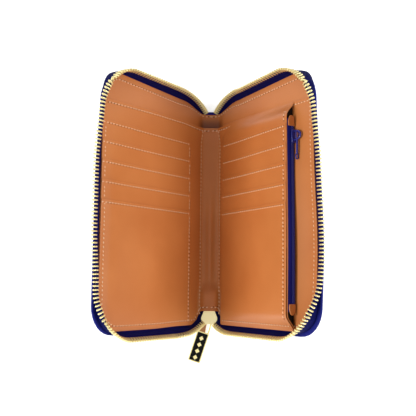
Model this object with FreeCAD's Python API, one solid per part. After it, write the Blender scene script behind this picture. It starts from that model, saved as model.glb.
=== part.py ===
"""A zip-around travel wallet that holds a passport, standing open on its spine.

Millimetres. +Y runs along the spine, away from the main slider. +Z is up, from the spine to the open edges.
The origin is the centre of the spine's outer face. Each cover is drawn lying flat, in its own leaf frame,
and is then stood up at its opening angle:
    x  away from the fold line, across the cover
    y  along the spine
    z  out of the lining, towards the inside of the wallet
The left cover is drawn in the same frame as the right one and mirrored.
"""

import FreeCAD, Part

import math
import os

V = FreeCAD.Vector

# Covers and spine
cover_height = 185.0
cover_width = 115.0
cover_corner = 20.0
spine_width = 14.4
left_opening = 38.0
right_opening = 34.0

# Layers, from the outside in
shell_wall = 1.4
hem_wall = 0.5
hem_width = 7.5
board_wall = 1.0
lining_wall = 0.6
pocket_wall = 0.6
card_wall = 0.45
lining_margin = 3.5
board_margin = 10.0
fold_gap = 0.2
spine_side_gap = 1.0

# Notch at the tail end of the spine, where the main zip ends
shell_notch_rise = 22.5
shell_notch_run = 7.0
lining_notch_rise = 10.7
lining_notch_run = 6.0
head_dip = 3.7
shell_head_dip = 6.0
head_dip_run = 9.0

# Pockets
wall_drop = 16.4
first_slot_drop = 16.3
slot_pitch = 14.0
slot_count = 5
slot_depth = 46.0
slot_fold_distance = 15.5
pocket_fold_gap = 1.0

# Coin pouch on the right cover
pouch_fold_distance = 6.0
pouch_depth = 8.4
pouch_strip = 18.8
pouch_head_slope = 11.0
pouch_tail_slope = 11.4

# Main zip: its tape stands out of the seam between shell and lining
tape_wall = 0.5
tape_reach = 9.2
tape_flange = 6.0
tape_seam_gap = 0.4
chain_side_lean = 8.0
chain_end_lean = 6.3
left_chain_corner = 34.0
right_chain_corner = 36.0
chain_turn_in = 26.0
chain_spine_share = 0.3
chain_head_start = 2.0
tooth_pitch = 2.6
tooth_width = 1.3
tooth_height = 2.3
tooth_head = 2.5
tooth_leg = 2.2
tooth_slot_gap = 0.08
stop_length = 3.2

# Main slider
slider_length = 15.0
slider_half_width = 6.4
slider_plate = 1.0
slider_channel = 2.2
slider_crown_gap = 1.55
slider_crown_bar = 1.0
slider_floor_gap = 0.35
slider_crown_width = 2.4
slider_travel = 4.0
slider_tail_play = 1.5
hump_ramp = 10.0
hump_clearance = 0.3

# Main pull tab
tab_length = 38.8
tab_width = 10.0
tab_wall = 1.8
stirrup_length = 14.6
stirrup_width = 8.4
stirrup_bar = 1.5
stirrup_wall = 1.2
tab_turn = 18.0
inlay_margin = 0.9
inlay_depth = 0.4

# Coin zip
coil_row = 0.75
coil_wall = 1.5
coil_slit = 0.95
coin_tape_flange = 5.0
coin_tape_end_gap = 2.0
coin_tab_length = 7.0
coin_tab_wall = 0.5
coin_slider_length = 10.0
coin_slider_width = 5.0
coin_slider_plate = 0.8
coin_slider_clearance = 0.25
coin_post_wall = 0.6
coin_crown_height = 5.0
coin_crown_bar = 0.8
coin_crown_width = 1.0
coin_crown_rise = 2.0
coin_crown_play = 0.25
coin_pull_length = 17.0
coin_pull_width = 2.4
coin_pull_wall = 1.0
coin_pull_eye = 1.5

# Worked out from the sizes above
stack = shell_wall + board_wall + lining_wall
half_height = cover_height / 2
lining_width = cover_width - lining_margin
lining_half = half_height - lining_margin
lining_corner = cover_corner - lining_margin
shell_low = -stack
board_low = shell_low + shell_wall
lining_low = -lining_wall
wall_top = lining_half - wall_drop
first_slot = wall_top - first_slot_drop
spine_half = spine_width / 2
spine_inner_half = spine_half - spine_side_gap
pouch_edge = lining_width - pouch_strip
shell_tail = -half_height + shell_notch_rise
lining_tail = -lining_half + lining_notch_rise
tape_low = lining_low - tape_wall

slider_under = slider_floor_gap + slider_crown_bar + slider_crown_gap
slider_channel_low = slider_under + slider_plate
slider_channel_high = slider_channel_low + slider_channel
slider_top = slider_channel_high + slider_plate
slider_rear = lining_tail + slider_travel + 0.5
slider_mouth = slider_rear - slider_length
hump_level = slider_top + hump_clearance + lining_wall
hump_flat = slider_rear + slider_travel + slider_tail_play + 1.0


def solid_of(points, direction):
    """A prism: the closed outline through the points, pushed along the direction."""
    wire = Part.makePolygon([V(*p) for p in points] + [V(*points[0])])
    return Part.Face(wire).extrude(V(*direction))


def box(low, high):
    size = [b - a for a, b in zip(low, high)]
    return Part.makeBox(*size, V(*low))


def rod(start, end, radius):
    start, end = V(*start), V(*end)
    return Part.makeCylinder(radius, (end - start).Length, start, end - start)


def leaf(x0, x1, y0, y1, z0, z1, corner, low_round=True, high_round=True, notch=None, dip=None):
    """A flat sheet, rounded at its outer corners.

    Its fold side may be cut on a slant at the tail end (notch) and at the head end (dip).
    """
    edges = []
    here = [None]

    def start(x, y):
        here[0] = V(x, y, z0)

    def line(x, y):
        there = V(x, y, z0)
        if (there - here[0]).Length > 1e-6:
            edges.append(Part.LineSegment(here[0], there).toShape())
        here[0] = there

    def arc(cx, cy, x, y):
        there, centre = V(x, y, z0), V(cx, cy, z0)
        middle = (here[0] + there) * 0.5 - centre
        middle.normalize()
        edges.append(Part.Arc(here[0], centre + middle * corner, there).toShape())
        here[0] = there

    rise, run = notch if notch else (0.0, 0.0)
    start(x0, y0 + rise)
    line(x0 + run, y0)
    if low_round:
        line(x1 - corner, y0)
        arc(x1 - corner, y0 + corner, x1, y0 + corner)
    else:
        line(x1, y0)
    if high_round:
        line(x1, y1 - corner)
        arc(x1 - corner, y1 - corner, x1 - corner, y1)
    else:
        line(x1, y1)
    drop, reach = dip if dip else (0.0, 0.0)
    line(x0 + reach, y1)
    line(x0, y1 - drop)
    line(x0, y0 + rise)
    return Part.Face(Part.Wire(edges)).extrude(V(0, 0, z1 - z0))


def stand(shape, side):
    """A shape in the leaf frame, stood up as a cover of that side."""
    opening = left_opening if side == "left" else right_opening
    turn = FreeCAD.Rotation(V(0, 1, 0), opening - 90)
    placed = shape.copy()
    placed.transformShape(FreeCAD.Placement(V(spine_half, 0, stack), turn).toMatrix(), True)
    return placed.mirror(V(0, 0, 0), V(1, 0, 0)) if side == "left" else placed


def pouch_plane(shape):
    """A shape drawn on a flat leaf, tilted to lie on the coin pouch's sloping front."""
    tilt = math.degrees(math.atan2(pouch_depth - pocket_wall * 2, pouch_edge - pouch_fold_distance))
    placed = shape.copy()
    turn = FreeCAD.Rotation(V(0, 1, 0), -tilt)
    where = V(pouch_fold_distance, 0, pocket_wall * 2)
    placed.transformShape(FreeCAD.Placement(where, turn).toMatrix(), True)
    return placed


# Covers

def cover_shell():
    corner = cover_corner
    cuts = {"notch": (shell_notch_rise, shell_notch_run), "dip": (shell_head_dip, head_dip_run)}
    plate = leaf(fold_gap, cover_width, -half_height, half_height, shell_low, board_low, corner, **cuts)
    hem_top = board_low + hem_wall
    hem = leaf(fold_gap, cover_width, -half_height, half_height, board_low, hem_top, corner, **cuts)
    inner = cover_width - hem_width
    inner_half = half_height - hem_width
    window = leaf(-1, inner, -inner_half, inner_half, board_low, hem_top, corner - hem_width)
    return plate.fuse(hem.cut(window)).removeSplitter()


def cover_board():
    inner = cover_width - board_margin
    inner_half = half_height - board_margin
    return leaf(1.5, inner, -inner_half, inner_half, board_low, lining_low, cover_corner - board_margin,
                notch=(shell_notch_rise - board_margin, shell_notch_run))


def cover_lining():
    return leaf(fold_gap, lining_width, -lining_half, lining_half, lining_low, 0, lining_corner,
                notch=(lining_notch_rise, lining_notch_run), dip=(head_dip, head_dip_run))


def cover_pocket_wall():
    return leaf(pocket_fold_gap, lining_width, -lining_half, wall_top, 0, pocket_wall, lining_corner,
                high_round=False, notch=(lining_notch_rise, lining_notch_run))


def slot_top(index):
    return first_slot - slot_pitch * index


def left_card_slot(index):
    low_z = pocket_wall + card_wall * index
    last = index == slot_count - 1
    low_y = -lining_half if last else max(-lining_half, slot_top(index) - slot_depth)
    return leaf(slot_fold_distance, lining_width, low_y, slot_top(index), low_z, low_z + card_wall,
                lining_corner, low_round=last, high_round=False)


# Coin pouch

def pouch_front():
    """A sheet that rises from the fold side to the zip side, with sloping head and tail ends."""
    def section(x, rise):
        low, high = -lining_half, wall_top
        top = pocket_wall + rise
        ys = [low, low + pouch_tail_slope, high - pouch_head_slope, high]
        under = [pocket_wall, top, top, pocket_wall]
        points = [(x, y, z) for y, z in zip(ys, under)]
        points += [(x, y, z + pocket_wall) for y, z in zip(reversed(ys), reversed(under))]
        return Part.makePolygon([V(*p) for p in points] + [V(*points[0])])

    rise = pouch_depth - 2 * pocket_wall
    return Part.makeLoft([section(pouch_fold_distance, 0.0), section(pouch_edge, rise)], True, True)


def pouch_card_slot(index):
    low_z = card_wall * index
    last = index == slot_count - 1
    flat_low = -lining_half + pouch_tail_slope
    low_y = flat_low if last else max(flat_low, slot_top(index) - slot_depth)
    run = math.hypot(pouch_edge - pouch_fold_distance, pouch_depth - pocket_wall * 2)
    sheet = box((fold_gap, low_y, low_z), (run - fold_gap, slot_top(index), low_z + card_wall))
    return pouch_plane(sheet)


coil_middle = pocket_wall + (pouch_depth - pocket_wall) / 2
coil_face = pouch_edge + (coil_wall - tape_wall) / 2
coin_zip_tail = -lining_half + pouch_tail_slope
coin_zip_head = wall_top - pouch_head_slope
coin_slider_head = coin_zip_head - coin_tab_length - 2.5
coin_tape_out = pouch_edge
coin_tape_in = pouch_edge - tape_wall


def coin_tape_front():
    under = pouch_depth - pocket_wall
    low = coil_middle + coil_slit / 2 + coil_row
    y0 = coin_zip_tail + coin_tape_end_gap
    y1 = coin_zip_head - coin_tape_end_gap
    slope = (pouch_depth - 2 * pocket_wall) / (pouch_edge - pouch_fold_distance)
    drop = slope * coin_tape_flange
    inside = coin_tape_in - coin_tape_flange + tape_wall
    points = [(coin_tape_out, y0, low), (coin_tape_out, y0, under), (inside, y0, under - drop),
              (inside, y0, under - drop - tape_wall),
              (coin_tape_in, y0, under - tape_wall - slope * tape_wall), (coin_tape_in, y0, low)]
    return solid_of(points, (0, y1 - y0, 0))


def coin_tape_back():
    high = coil_middle - coil_slit / 2 - coil_row
    y0 = coin_zip_tail + coin_tape_end_gap
    y1 = coin_zip_head - coin_tape_end_gap
    inside = coin_tape_in - coin_tape_flange
    points = [(coin_tape_out, y0, high), (coin_tape_out, y0, pocket_wall), (inside, y0, pocket_wall),
              (inside, y0, pocket_wall + tape_wall), (coin_tape_in, y0, pocket_wall + tape_wall),
              (coin_tape_in, y0, high)]
    return solid_of(points, (0, y1 - y0, 0))


def coin_coil(sign):
    near = coil_middle + sign * coil_slit / 2
    far = near + sign * coil_row
    y0 = coin_zip_tail + coin_tape_end_gap
    y1 = coin_zip_head - coin_tape_end_gap
    return box((coil_face - coil_wall, y0, min(near, far)), (coil_face, y1, max(near, far)))


def coin_zip_tab(y0, y1):
    """A scrap of lining folded over the end of the coin zip."""
    low = coil_middle - coil_slit / 2 - coil_row - 1.0
    high = coil_middle + coil_slit / 2 + coil_row + 1.0
    return box((coil_face, y0, low), (coil_face + coin_tab_wall, y1, high))


coin_outer = coil_face + coin_slider_clearance
coin_inner = coil_face - coil_wall - coin_slider_clearance
coin_plate_top = coin_outer + coin_slider_plate
coin_crown_out = coin_plate_top + coin_crown_height


def coin_slider_body():
    y1 = coin_slider_head
    y0 = y1 - coin_slider_length
    low = coil_middle - coin_slider_width / 2
    high = coil_middle + coin_slider_width / 2
    shoulder = y1 - coin_slider_length * 0.35
    waist = 0.6

    def plate(x0):
        points = [(x0, y0, low + waist), (x0, shoulder, low), (x0, y1, low + waist * 1.5),
                  (x0, y1, high - waist * 1.5), (x0, shoulder, high), (x0, y0, high - waist)]
        return solid_of(points, (coin_slider_plate, 0, 0))

    half_post = coin_post_wall / 2
    post = box((coin_inner, y1 - 3.2, coil_middle - half_post),
               (coin_outer, y1 - 0.6, coil_middle + half_post))
    return plate(coin_outer).fuse([plate(coin_inner - coin_slider_plate), post]).removeSplitter()


def coin_slider_crown():
    """An arch on the outer plate, from near its head end to past its middle."""
    y1 = coin_slider_head - 0.6
    y0 = y1 - coin_slider_length * 0.72
    x0, x1 = coin_plate_top, coin_crown_out
    rise = coin_crown_rise
    outside = [(x0, y1), (x1 - rise, y1), (x1, y1 - rise), (x1, y0 + rise), (x1 - rise, y0), (x0, y0)]
    bar = coin_crown_bar
    inside = [(x0, y1 - bar), (x1 - rise, y1 - bar), (x1 - bar, y1 - rise), (x1 - bar, y0 + rise),
              (x1 - rise, y0 + bar), (x0, y0 + bar)]
    low = coil_middle - coin_crown_width / 2
    outer = solid_of([(x, y, low) for x, y in outside], (0, 0, coin_crown_width))
    hole = solid_of([(x, y, low) for x, y in inside], (0, 0, coin_crown_width))
    return outer.cut(hole)


coin_pull_x = coin_crown_out - coin_crown_bar - coin_crown_play - coin_pull_wall / 2
coin_pull_y = coin_slider_head - 0.6 - coin_crown_rise - coin_crown_play


def coin_pull_tab():
    """A flat bar with an eye whose head bar passes under the slider's arch."""
    radius = coin_pull_wall / 2
    low = coil_middle - coin_pull_width / 2
    high = coil_middle + coin_pull_width / 2
    eye = coin_pull_eye / 2
    head = rod((coin_pull_x, coin_pull_y, low), (coin_pull_x, coin_pull_y, high), radius)
    end = coin_pull_y - coin_pull_length
    eye_end = coin_pull_y - coin_slider_length * 0.72 - 1.0
    x0, x1 = coin_pull_x - radius, coin_pull_x + radius
    side_a = box((x0, eye_end, low), (x1, coin_pull_y, coil_middle - eye))
    side_b = box((x0, eye_end, coil_middle + eye), (x1, coin_pull_y, high))
    blade = box((x0, end, low), (x1, eye_end, high))
    return head.fuse([side_a, side_b, blade]).removeSplitter()


# Main zip

def nearest_seam(x, y):
    """The point of the lining's edge nearest a plan point, the way out from it, and the distance out."""
    core_x = min(x, lining_width - lining_corner)
    core_y = max(-(lining_half - lining_corner), min(y, lining_half - lining_corner))
    dx, dy = x - core_x, y - core_y
    far = math.hypot(dx, dy)
    way = (dx / far, dy / far)
    seam = (core_x + way[0] * lining_corner, core_y + way[1] * lining_corner)
    return seam, way, far - lining_corner


def smooth(share):
    share = max(0.0, min(1.0, share))
    return share * share * (3 - 2 * share)


def chain_section(x, y):
    """The seam point by a plan point of the chain, the way out, and how far out and up the chain is."""
    seam, way, out = nearest_seam(x, y)
    share = chain_spine_share + (1 - chain_spine_share) * smooth(x / chain_turn_in)
    reach = tape_reach * share
    out = out if x > chain_turn_in else out * share
    up = math.sqrt(max(reach * reach - out * out, 0.04))
    return seam, way, out, up


def chain_plan(corner):
    """Plan points of the chain, from the tail end of the spine round the cover to the head end."""
    far_x = lining_width + chain_side_lean
    far_y = lining_half + chain_end_lean
    steps = 9
    start = chain_head_start
    run_in = [start + (chain_turn_in - start) * k / 6 for k in range(7)]
    points = [(x, -far_y) for x in run_in]
    for k in range(steps + 1):
        a = math.pi / 2 * k / steps
        points.append((far_x - corner + corner * math.sin(a), -far_y + corner - corner * math.cos(a)))
    middle = [(far_x, y) for y in (-far_y / 4, 0.0, far_y / 4)]
    head = [(x, -y) for x, y in reversed(points)]
    return points + middle + head


def chain_frames(corner):
    """For each plan point, the middle of the tape at its root and at its free edge, and the way out."""
    frames = []
    for x, y in chain_plan(corner):
        seam, way, out, up = chain_section(x, y)
        outward = V(way[0], way[1], 0)
        base = V(seam[0], seam[1], 0)
        root = base + outward * (tape_seam_gap + tape_wall / 2) + V(0, 0, (lining_low + tape_low) / 2)
        frames.append((root, outward, base + outward * out + V(0, 0, up)))
    return frames


def zip_tape(corner):
    """The tape: a flange sewn under the lining's edge, and a wall that leans out to the chain."""
    wires = []
    for root, outward, edge in chain_frames(corner):
        up = V(0, 0, 1)
        lean = edge - root
        half = tape_wall / 2
        across = (outward * lean.dot(up) - up * lean.dot(outward)).normalize() * half
        inside = root - outward * (tape_flange + tape_seam_gap)
        points = [inside - up * half, root - up * half, root + across, edge + across,
                  edge - across, root - across, inside + up * half]
        wires.append(Part.makePolygon(points + [points[0]]))
    return Part.makeLoft(wires, True, True)


def walk(frames, distance):
    """The free edge point at a distance along the chain, with the way out of the tape there."""
    left = distance
    for (b0, o0, e0), (b1, o1, e1) in zip(frames, frames[1:]):
        length = (e1 - e0).Length
        if left <= length:
            share = left / length
            edge = e0 + (e1 - e0) * share
            foot = b0 + (b1 - b0) * share
            return edge, edge - foot, e1 - e0
        left -= length
    raise ValueError("distance is past the end of the chain")


def chain_length(frames):
    return sum((e1 - e0).Length for (_, _, e0), (_, _, e1) in zip(frames, frames[1:]))


def set_on_chain(shape, frames, distance):
    """A shape drawn as x out of the tape, y along it and z through it, set on the chain."""
    edge, out, _ = walk(frames, distance)
    ahead, _, _ = walk(frames, min(distance + tooth_pitch / 2, chain_length(frames) - 0.01))
    behind, _, _ = walk(frames, max(distance - tooth_pitch / 2, 0.01))
    along = (ahead - behind).normalize()
    outward = (out - along * out.dot(along)).normalize()
    through = outward.cross(along)
    matrix = FreeCAD.Matrix(outward.x, along.x, through.x, edge.x,
                            outward.y, along.y, through.y, edge.y,
                            outward.z, along.z, through.z, edge.z,
                            0, 0, 0, 1)
    placed = shape.copy()
    placed.transformShape(matrix, True)
    return placed


def tooth(length=None):
    """One metal tooth: two legs that grip the tape's edge, and a head that thins towards its tip."""
    width = length or tooth_width
    slot = tape_wall / 2 + tooth_slot_gap
    high = tooth_height / 2
    tip = high * 0.62
    shoulder = tooth_head * 0.5
    points = [(-tooth_leg, slot), (tooth_slot_gap, slot), (tooth_slot_gap, -slot), (-tooth_leg, -slot),
              (-tooth_leg, -high * 0.85), (-tooth_leg * 0.8, -high), (shoulder, -high), (tooth_head, -tip),
              (tooth_head, tip), (shoulder, high), (-tooth_leg * 0.8, high), (-tooth_leg, high * 0.85)]
    return solid_of([(x, -width / 2, z) for x, z in points], (0, width, 0))


def zip_teeth(corner):
    frames = chain_frames(corner)
    blank = tooth()
    count = int((chain_length(frames) - stop_length - tooth_pitch * 2) / tooth_pitch)
    placed = [set_on_chain(blank, frames, tooth_pitch * (k + 0.6)) for k in range(count)]
    return Part.makeCompound(placed)


def zip_head_stop(corner):
    frames = chain_frames(corner)
    return set_on_chain(tooth(stop_length), frames, chain_length(frames) - stop_length / 2 - 0.3)


# Spine

def spine_shell():
    return box((-spine_half, shell_tail, 0), (spine_half, half_height - shell_head_dip, shell_wall))


def spine_board():
    return box((-spine_inner_half, shell_tail + 2.0, shell_wall),
               (spine_inner_half, half_height - board_margin, shell_wall + board_wall))


def humped_sheet(head, low_z, wall):
    """A strip down the spine that rises over the main slider at its tail end."""
    rise = hump_level - stack
    top = [(head, low_z + wall), (hump_flat + hump_ramp, low_z + wall), (hump_flat, low_z + wall + rise),
           (lining_tail, low_z + wall + rise)]
    under = [(y, z - wall) for y, z in reversed(top)]
    points = [(-spine_inner_half, y, z) for y, z in top + under]
    return solid_of(points, (spine_inner_half * 2, 0, 0))


def spine_lining():
    return humped_sheet(lining_half - head_dip, stack - lining_wall, lining_wall)


def spine_pocket_wall():
    return humped_sheet(wall_top - 1.6, stack, pocket_wall)


def tail_tape():
    """The closed end of the main zip's tape, sewn in at the spine and forked round the slider's post."""
    middle = (slider_channel_low + slider_channel_high) / 2
    low, high = middle - tape_wall / 2, middle + tape_wall / 2
    half = spine_inner_half - 0.2
    root = slider_rear + slider_travel + slider_tail_play
    plate = box((-half, slider_mouth + 0.6, low), (half, root, high))
    slit = box((-1.9, slider_mouth, low - 1), (1.9, slider_rear + slider_travel - 8.0, high + 1))
    return plate.cut(slit)


def tail_stop():
    middle = (slider_channel_low + slider_channel_high) / 2
    y0 = slider_rear + slider_travel + 0.2
    y1 = y0 + slider_tail_play - 0.4
    reach = slider_channel / 2 - 0.1
    outer = box((-2.6, y0, middle - reach), (2.6, y1, middle + reach))
    grip = box((-3, y0 - 1, middle - tape_wall / 2), (3, y1 + 1, middle + tape_wall / 2))
    return Part.makeCompound(outer.cut(grip).Solids)


# Main slider and its pull

def slider_outline(z):
    """Plan of the slider's plates: narrow at the rear, widest at its shoulders, rounded at the mouth."""
    rear, mouth, half = slider_rear, slider_mouth, slider_half_width
    length = slider_length
    side = [(half * 0.62, rear), (half * 0.69, rear - length * 0.3), (half, mouth + length * 0.32),
            (half * 0.93, mouth + length * 0.18), (half * 0.56, mouth)]
    return [(x, y, z) for x, y in side] + [(-x, y, z) for x, y in reversed(side)]


def slider_body():
    lower = solid_of(slider_outline(slider_under), (0, 0, slider_plate))
    upper = solid_of(slider_outline(slider_channel_high), (0, 0, slider_plate))
    nose, tail = slider_mouth + 0.8, slider_mouth + 5.6
    half_plan = [(0.9, nose), (1.5, nose + 2.0), (0.4, tail)]
    plan = half_plan + [(-x, y) for x, y in reversed(half_plan)]
    post = solid_of([(x, y, slider_channel_low) for x, y in plan], (0, 0, slider_channel))
    parts = [upper, post]
    lip = (slider_channel - tape_wall) / 2 - 0.12
    x0, x1 = slider_half_width * 0.48, slider_half_width * 0.62
    y0, y1 = slider_rear - slider_length * 0.45, slider_rear
    for low in (slider_channel_low, slider_channel_high - lip):
        high = low + lip
        parts += [box((x0, y0, low), (x1, y1, high)), box((-x1, y0, low), (-x0, y1, high))]
    return lower.fuse(parts).removeSplitter()


crown_tail = slider_rear - slider_length * 0.33
crown_mouth = slider_rear - slider_length * 0.7


def slider_crown():
    """A bridge under the slider's lower plate that holds the pull."""
    half = slider_crown_width / 2
    bevel = 0.6
    foot = slider_floor_gap
    outside = [(crown_tail, slider_under), (crown_tail, foot + bevel), (crown_tail - bevel, foot),
               (crown_mouth + bevel, foot), (crown_mouth, foot + bevel), (crown_mouth, slider_under)]
    bar = slider_crown_bar
    outer = solid_of([(-half, y, z) for y, z in outside], (slider_crown_width, 0, 0))
    hole = box((-half, crown_mouth + bar, foot + bar), (half, crown_tail - bar, slider_under))
    return outer.cut(hole)


crown_eye_height = slider_floor_gap + slider_crown_bar + slider_crown_gap / 2
pull_pivot = V(0, (crown_tail + crown_mouth) / 2, crown_eye_height)


def hang_pull(shape):
    """A shape of the pull, drawn along -Y from its pivot at the origin, hung on the slider's crown."""
    dip = math.degrees(math.asin((pull_pivot.z - tab_wall / 2 - 0.05) / tab_length))
    turn = FreeCAD.Rotation(V(0, 0, 1), -tab_turn).multiply(FreeCAD.Rotation(V(1, 0, 0), dip))
    placed = shape.copy()
    placed.transformShape(FreeCAD.Placement(pull_pivot, turn).toMatrix(), True)
    return placed


def tab_plate(margin, z0, z1):
    half = tab_width / 2 - margin
    y0 = -tab_length + margin
    y1 = -stirrup_length - margin
    return box((-half, y0, z0), (half, y1, z1))


def pull_tab():
    """A flat blade and a stirrup whose round end bar passes through the crown."""
    half = stirrup_width / 2
    radius = 0.65
    bar = rod((-half, 0, 0), (half, 0, 0), radius)
    z0, z1 = -stirrup_wall / 2, stirrup_wall / 2
    wide = tab_width / 2 - 0.6

    def arm(sign):
        foot = wide - stirrup_bar * 1.3
        points = [(sign * half, 0, z0), (sign * wide, -stirrup_length, z0),
                  (sign * foot, -stirrup_length, z0), (sign * (half - stirrup_bar), 0, z0)]
        return solid_of(points, (0, 0, stirrup_wall))

    blade = tab_plate(0, -tab_wall / 2, tab_wall / 2)
    recess = tab_plate(inlay_margin, tab_wall / 2 - inlay_depth, tab_wall / 2)
    sill = box((-wide, -stirrup_length, z0), (wide, -stirrup_length + 2.6, z1))
    return hang_pull(bar.fuse([arm(1), arm(-1), sill, blade.cut(recess)]).removeSplitter())


def pull_inlay():
    return hang_pull(tab_plate(inlay_margin, tab_wall / 2 - inlay_depth, tab_wall / 2))


def build():
    nodes = {
        "spine_shell": spine_shell(),
        "spine_board": spine_board(),
        "spine_lining": spine_lining(),
        "spine_pocket_wall": spine_pocket_wall(),
        "main_zip_tail_tape": tail_tape(),
        "main_zip_tail_stop": tail_stop(),
        "main_slider_body": slider_body(),
        "main_slider_crown": slider_crown(),
        "main_pull_tab": pull_tab(),
        "main_pull_inlay": pull_inlay(),
    }
    for side, corner in (("left", left_chain_corner), ("right", right_chain_corner)):
        leaves = {
            "cover_shell": cover_shell(),
            "cover_board": cover_board(),
            "cover_lining": cover_lining(),
            "pocket_wall": cover_pocket_wall(),
            "zip_tape": zip_tape(corner),
            "zip_teeth": zip_teeth(corner),
            "zip_head_stop": zip_head_stop(corner),
        }
        for index in range(slot_count):
            make = left_card_slot if side == "left" else pouch_card_slot
            leaves[f"card_slot_{index + 1}"] = make(index)
        for name, shape in leaves.items():
            nodes[f"{side}_{name}"] = stand(shape, side)
    head = coin_zip_head
    coin = {
        "coin_pouch_front": pouch_front(),
        "coin_zip_tape_front": coin_tape_front(),
        "coin_zip_tape_back": coin_tape_back(),
        "coin_zip_coil_front": coin_coil(1),
        "coin_zip_coil_back": coin_coil(-1),
        "coin_zip_tab_head": coin_zip_tab(head - coin_tab_length, head),
        "coin_zip_tab_tail": coin_zip_tab(coin_zip_tail, coin_zip_tail + coin_tab_length),
        "coin_slider_body": coin_slider_body(),
        "coin_slider_crown": coin_slider_crown(),
        "coin_pull_tab": coin_pull_tab(),
    }
    for name, shape in coin.items():
        nodes[name] = stand(shape, "right")
    return nodes


def main():
    os.makedirs("parts", exist_ok=True)
    for name, shape in build().items():
        for solid in shape.Solids:
            if not solid.isValid() or solid.Volume <= 0:
                raise ValueError(f"{name} holds a solid that isn't valid")
        shape.exportStep(f"parts/{name}.step")
    print("pull pivot", [round(c, 3) for c in pull_pivot])
    coin_pivot = (coin_pull_x, coin_pull_y, coil_middle)
    print("coin pull pivot in the right leaf", [round(c, 3) for c in coin_pivot])
    travel = coin_slider_head - coin_slider_length - coin_zip_tail - coin_tab_length
    print("coin slider travel", round(travel, 2))


main()
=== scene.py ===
import math
import random

import bpy
from mathutils import Matrix, Vector


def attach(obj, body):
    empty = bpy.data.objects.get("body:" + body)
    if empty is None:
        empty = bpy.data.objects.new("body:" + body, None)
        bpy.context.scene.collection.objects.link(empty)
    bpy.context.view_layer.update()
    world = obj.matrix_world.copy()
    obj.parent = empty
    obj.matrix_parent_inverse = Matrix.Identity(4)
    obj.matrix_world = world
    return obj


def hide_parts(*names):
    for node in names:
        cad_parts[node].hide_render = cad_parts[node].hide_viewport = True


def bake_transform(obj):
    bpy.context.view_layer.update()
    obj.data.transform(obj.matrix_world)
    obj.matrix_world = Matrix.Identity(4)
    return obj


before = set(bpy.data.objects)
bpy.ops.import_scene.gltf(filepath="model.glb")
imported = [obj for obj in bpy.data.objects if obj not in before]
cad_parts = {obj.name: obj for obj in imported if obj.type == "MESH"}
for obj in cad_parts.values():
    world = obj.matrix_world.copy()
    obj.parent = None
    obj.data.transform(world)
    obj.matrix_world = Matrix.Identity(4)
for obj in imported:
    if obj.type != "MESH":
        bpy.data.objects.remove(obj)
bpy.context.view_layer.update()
scene = bpy.context.scene
random.seed(7)

mm = 0.001
pi = math.pi

# the open wallet: covers stand on the spine, t is measured from the fold outward, n out of the lining
wallet = {
    "lean": {"left": math.radians(38), "right": math.radians(34)},
    "spineHalf": 7.2,
    "ground": 3.0,
    "foldRadius": 3.2,
    "coverWidth": 115.0,
    "coverHalf": 92.5,
    "coverCorner": 20.0,
    "shellLevel": -3.0,
    "bend": (-4.5, 5.5),
}


def smooth(x):
    x = min(1.0, max(0.0, x))
    return x * x * (3 - 2 * x)


def sideSign(side):
    return -1 if side == "left" else 1


def bow(side, t, y):
    # the right cover's outer edge is bent outward below its middle
    if side == "left":
        return 0.0
    return 2.8 * smooth((t - 88) / 22) * math.exp(-((y + 30) / 42) ** 2)


def place(side, t, y, n):
    # one sheet of leather runs flat over the spine, round the fold and up the cover
    a = wallet["lean"][side]
    turn = pi / 2 - a
    r = wallet["foldRadius"]
    tangent = r * math.tan(turn / 2)
    half = wallet["spineHalf"]
    ground = wallet["ground"]
    n -= bow(side, t, y)
    if t <= -tangent:
        x, z, nx, nz = half + t, ground, 0.0, 1.0
    elif t >= tangent:
        x = half + t * math.sin(a)
        z = ground + t * math.cos(a)
        nx, nz = -math.cos(a), math.sin(a)
    else:
        f = (t + tangent) / (2 * tangent) * turn
        x = half - tangent + r * math.sin(f)
        z = ground + r - r * math.cos(f)
        nx, nz = -math.sin(f), math.cos(f)
    return Vector((sideSign(side) * (x + nx * n), y, z + nz * n)) * mm


def rideFold(obj, side, span):
    # bakes the piece's placement into its mesh; place() is called at two distances from the fold line but its
    # results are not used, so nothing is bent here
    place(side, span[0], 0, 0)
    place(side, span[1], 0, 0)
    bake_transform(obj)


def onCover(side, t, y, n):
    a = wallet["lean"][side]
    n -= bow(side, t, y)
    x = wallet["spineHalf"] + t * math.sin(a) - n * math.cos(a)
    z = wallet["ground"] + t * math.cos(a) + n * math.sin(a)
    return Vector((sideSign(side) * x, y, z)) * mm


def ripple(side, t, y):
    # slow waves of soft leather, shared by every layer of a cover
    k = 1.3 if side == "right" else -0.4
    fade = smooth((t - 3) / 25) * smooth((112 - t) / 22) * smooth((89 - abs(y)) / 25)
    return fade * (0.42 * math.sin(t / 17 + y / 29 + k) + 0.26 * math.sin(y / 15 - t / 37 + 2.2 * k))


def spineRise(t, y):
    # the lining strides over the slider at the tail, and has a slack ridge down the middle of the spine
    x = wallet["spineHalf"] + t
    over = 5.7 * smooth((-54.5 - y) / 11) * smooth((12 - x) / 8)
    ridge = smooth((x - 0.1) / 4.0)
    slack = smooth((y + 75) / 30) * smooth((35 - y) / 40)
    return over + 1.7 * slack * (1 - ridge)


def meshPiece(name, verts, faces, material, smoothShade=True):
    data = bpy.data.meshes.new(name)
    data.from_pydata([tuple(v) for v in verts], [], faces)
    data.update()
    obj = bpy.data.objects.new(name, data)
    scene.collection.objects.link(obj)
    data.materials.append(material)
    data.polygons.foreach_set("use_smooth", [smoothShade] * len(data.polygons))
    return obj


def ringFaces(rows, wide, closed=False):
    # quads between rows of points that each run round a section; an open run is capped at both ends
    faces = []
    for r in range(rows if closed else rows - 1):
        near, far = r * wide, (r + 1) % rows * wide
        faces += [(near + c, near + (c + 1) % wide, far + (c + 1) % wide, far + c) for c in range(wide)]
    if not closed:
        faces += [tuple(range(wide))[::-1], tuple((rows - 1) * wide + c for c in range(wide))]
    return faces


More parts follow.
